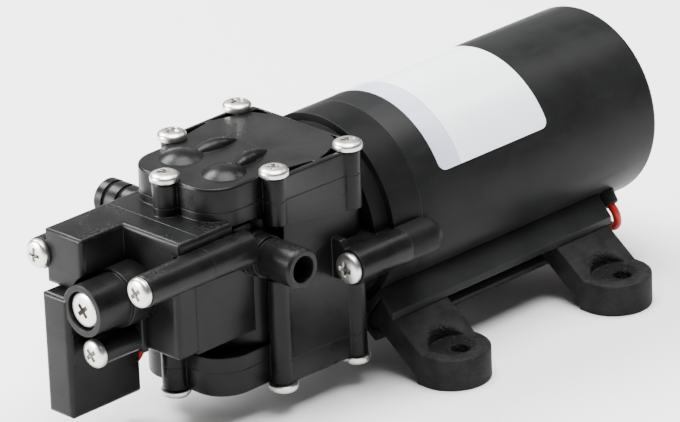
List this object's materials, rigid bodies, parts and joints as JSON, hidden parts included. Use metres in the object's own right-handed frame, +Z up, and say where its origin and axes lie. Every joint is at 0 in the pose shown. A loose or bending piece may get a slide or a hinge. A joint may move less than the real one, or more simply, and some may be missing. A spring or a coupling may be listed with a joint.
{
  "type": "diaphragm water pump",
  "caption": "Electric diaphragm water pump with a bolted two-chamber head, side hose spigots, front pressure switch, round motor and slide-on rubber feet.",
  "frame": {"origin": "centre of the foot hole pattern on the mounting plane", "axes": "+X from the pump head to the rear of the motor along the shaft, +Z up from the mounting plane"},
  "size_m": [0.1922, 0.096, 0.0709],
  "materials": {
    "head_plastic": "fine moulded texture, black",
    "seal_rubber": "black rubber",
    "screw_steel": "plain stainless",
    "white_plastic": "natural white moulding",
    "grey_plastic": "grey moulding",
    "valve_rubber": "blue valve rubber",
    "bronze": "plain turned",
    "flange_paint": "satin black",
    "can_paint": "satin black",
    "rail_paint": "satin black",
    "label_film": "bare white film",
    "core_steel": "plain steel",
    "copper": "enamelled copper",
    "magnet": "dark sintered",
    "card": "brown board",
    "foot_rubber": "matt black rubber",
    "switch_plastic": "black moulding",
    "button_plastic": "red moulding",
    "lead_red": "red insulation"
  },
  "bodies": {
    "housing": {"upper_cover": "head_plastic", "lower_cover": "head_plastic", "pump_body": "head_plastic", "front_manifold": "head_plastic", "manifold_seal": "seal_rubber", "cover_screws": "screw_steel", "manifold_screws": "screw_steel", "switch_screw": "screw_steel", "upper_diaphragm": "seal_rubber", "lower_diaphragm": "seal_rubber", "upper_valve_plate": "grey_plastic", "lower_valve_plate": "grey_plastic", "upper_valves": "valve_rubber", "lower_valves": "valve_rubber", "upper_gasket": "seal_rubber", "lower_gasket": "seal_rubber", "motor_flange": "flange_paint", "motor_can": "can_paint", "motor_label": "label_film", "front_bearing": "bronze", "rear_bearing": "bronze", "magnets": "magnet", "brush_card": "card", "brushes": "magnet", "brush_springs": "core_steel", "motor_screws": "screw_steel", "lead_grommet": "seal_rubber", "base_rail": "rail_paint", "switch_housing": "head_plastic", "switch_cover": "head_plastic", "switch_diaphragm": "seal_rubber", "microswitch": "switch_plastic", "switch_terminals": "bronze", "motor_lead": "lead_red", "switch_lead": "lead_red"},
    "rotor": {"motor_shaft": "core_steel", "eccentric": "bronze", "armature_core": "core_steel", "armature_windings": "copper", "commutator": "bronze"},
    "yoke": {"drive_yoke": "white_plastic", "drive_bush": "bronze", "upper_piston": "white_plastic", "lower_piston": "white_plastic", "piston_screws": "screw_steel"},
    "adjuster": {"adjuster_screw": "screw_steel"},
    "seat": {"spring_seat": "bronze", "range_spring": "core_steel"},
    "plunger": {"plunger": "white_plastic"},
    "button": {"switch_button": "button_plastic"},
    "foot_fl": {"front_left_foot": "foot_rubber"},
    "foot_fr": {"front_right_foot": "foot_rubber"},
    "foot_rl": {"rear_left_foot": "foot_rubber"},
    "foot_rr": {"rear_right_foot": "foot_rubber"}
  },
  "joints": [
    {"name": "rotor_spin", "type": "hinge", "parent": "housing", "child": "rotor", "pos_m": [-0.07575, 0, 0.0415], "axis": [1, 0, 0], "continuous": true},
    {"name": "yoke_orbit", "type": "hinge", "parent": "rotor", "child": "yoke", "pos_m": [-0.07575, 0, 0.0427], "axis": [1, 0, 0], "continuous": true, "deforming": ["upper_diaphragm", "lower_diaphragm"]},
    {"name": "adjuster_turn", "type": "hinge", "parent": "housing", "child": "adjuster", "pos_m": [-0.12995, 0, 0.0415], "axis": [1, 0, 0], "range_deg": [-400, 400]},
    {"name": "seat_slide", "type": "slide", "parent": "housing", "child": "seat", "axis": [1, 0, 0], "range_m": [-0.0007, 0.0007], "deforming": ["range_spring"]},
    {"name": "plunger_slide", "type": "slide", "parent": "housing", "child": "plunger", "axis": [-1, 0, 0], "range_m": [0, 0.0008], "stiffness_N_per_m": 900},
    {"name": "button_slide", "type": "slide", "parent": "housing", "child": "button", "axis": [-1, 0, 0], "range_m": [0, 0.0008]},
    {"name": "foot_fl_slide", "type": "slide", "parent": "housing", "child": "foot_fl", "axis": [1, 0, 0], "range_m": [0, 0.02]},
    {"name": "foot_fr_slide", "type": "slide", "parent": "housing", "child": "foot_fr", "axis": [1, 0, 0], "range_m": [0, 0.02]},
    {"name": "foot_rl_slide", "type": "slide", "parent": "housing", "child": "foot_rl", "axis": [1, 0, 0], "range_m": [-0.02, 0]},
    {"name": "foot_rr_slide", "type": "slide", "parent": "housing", "child": "foot_rr", "axis": [1, 0, 0], "range_m": [-0.02, 0]}
  ],
  "couplings": [
    {"joint": "yoke_orbit", "follows": "rotor_spin", "ratio": -1},
    {"joint": "adjuster_turn", "follows": "seat_slide", "rad_per_m": 8976},
    {"joint": "button_slide", "follows": "plunger_slide", "ratio": 1}
  ]
}
